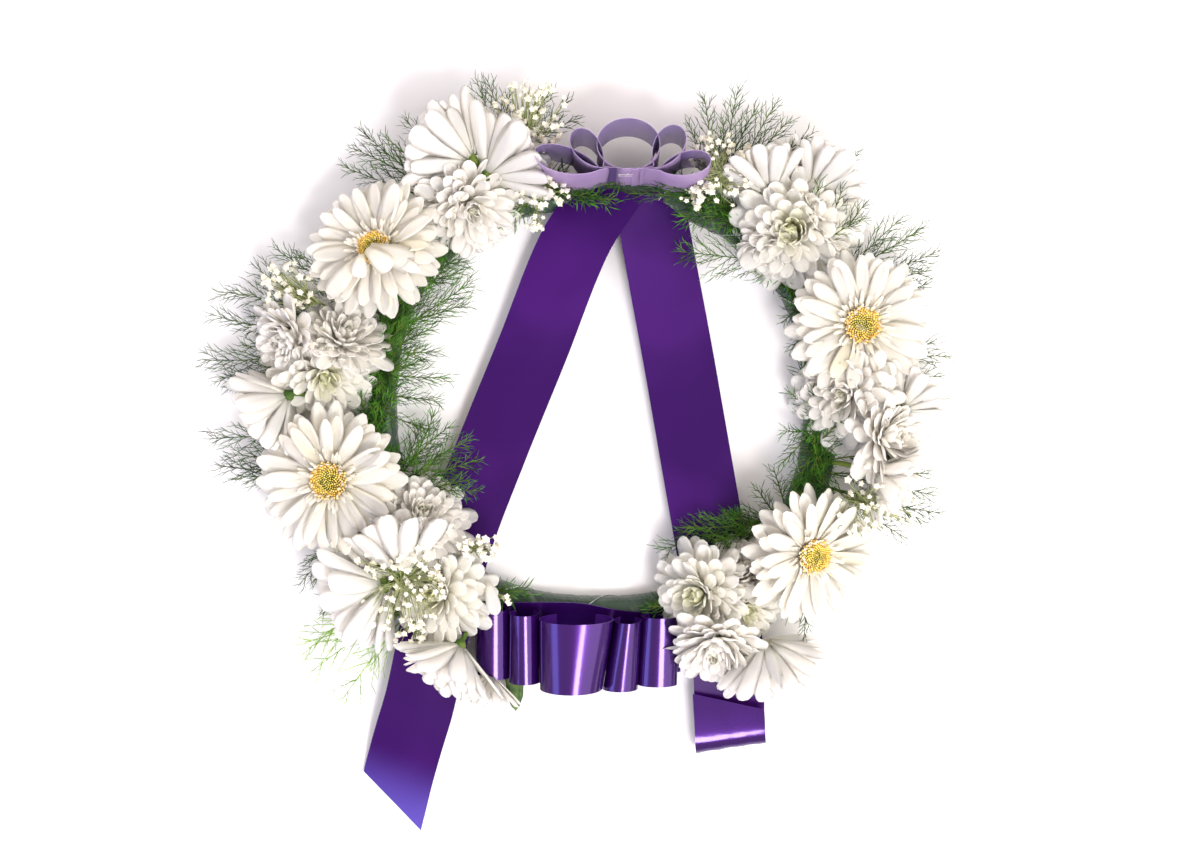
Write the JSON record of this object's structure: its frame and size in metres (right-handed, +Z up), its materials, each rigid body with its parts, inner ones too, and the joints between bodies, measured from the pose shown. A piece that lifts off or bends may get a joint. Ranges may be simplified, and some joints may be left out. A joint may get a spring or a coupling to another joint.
{
  "type": "memorial wreath",
  "caption": "Round funeral wreath lying face up: film-wrapped ring with white gerberas, chrysanthemums, baby's breath, asparagus fern, purple ribbon bows and tails.",
  "frame": {"origin": "on the table, under the middle of the whole wreath's outline", "axes": "+Z up out of the face of the wreath, +Y towards the top bow, +X to the right seen from the front"},
  "size_m": [0.5244, 0.5288, 0.072],
  "materials": {
    "wrap_film": "thin grey-green film, creased, satin gloss",
    "moss": "packed dry moss, matt",
    "purple_ribbon": "woven-look satin gloss, lilac on the inner face",
    "steel_wire": "bright wire",
    "white_petal": "soft matt petal, faint veins",
    "cream_petal": "soft matt petal, lengthwise grooves",
    "gerbera_disc": "velvety florets, gold with an olive middle",
    "leaf": "matt leaf with veins",
    "fern": "fine needle foliage, matt",
    "lime_fern": "fine young needle foliage, matt",
    "babys_breath": "tiny papery florets"
  },
  "bodies": {
    "root": {"ring_wrap": "wrap_film", "ring_core": "moss", "top_bow": "purple_ribbon", "bow_staple_1": "steel_wire", "bow_staple_2": "steel_wire", "left_tail": "purple_ribbon", "right_tail": "purple_ribbon", "bottom_bow": "purple_ribbon", "chrysanthemum_leaf": "leaf", "gerbera_disc_upper_left": "gerbera_disc", "gerbera_upper_left": "cream_petal", "gerbera_disc_lower_left": "gerbera_disc", "gerbera_lower_left": "cream_petal", "gerbera_disc_upper_right": "gerbera_disc", "gerbera_upper_right": "cream_petal", "gerbera_disc_lower_right": "gerbera_disc", "gerbera_lower_right": "cream_petal", "chrysanthemum_01": "white_petal", "chrysanthemum_02": "white_petal", "chrysanthemum_03": "white_petal", "chrysanthemum_04": "white_petal", "chrysanthemum_05": "white_petal", "chrysanthemum_06": "white_petal", "chrysanthemum_07": "white_petal", "chrysanthemum_08": "white_petal", "chrysanthemum_09": "white_petal", "chrysanthemum_10": "white_petal", "chrysanthemum_11": "white_petal", "chrysanthemum_12": "white_petal", "chrysanthemum_13": "white_petal", "chrysanthemum_14": "white_petal", "chrysanthemum_15": "white_petal", "chrysanthemum_16": "white_petal", "chrysanthemum_17": "white_petal", "chrysanthemum_18": "white_petal", "chrysanthemum_19": "white_petal", "chrysanthemum_20": "white_petal", "chrysanthemum_21": "white_petal", "chrysanthemum_22": "white_petal", "chrysanthemum_23": "white_petal", "chrysanthemum_24": "white_petal", "chrysanthemum_25": "white_petal", "chrysanthemum_26": "white_petal", "chrysanthemum_27": "white_petal", "babys_breath_upper_left": "babys_breath", "babys_breath_left": "babys_breath", "babys_breath_lower_left": "babys_breath", "babys_breath_upper_right": "babys_breath", "babys_breath_right": "babys_breath", "fern_top_left": "fern", "fern_left_outer": "fern", "fern_left_inner": "fern", "fern_lower_left_outer": "fern", "fern_lower_left_inner": "fern", "fern_lime": "lime_fern", "fern_top_right": "fern", "fern_right_outer": "fern", "fern_right_inner": "fern", "fern_lower_right_outer": "fern", "fern_lower_right_inner": "fern"}
  },
  "joints": []
}
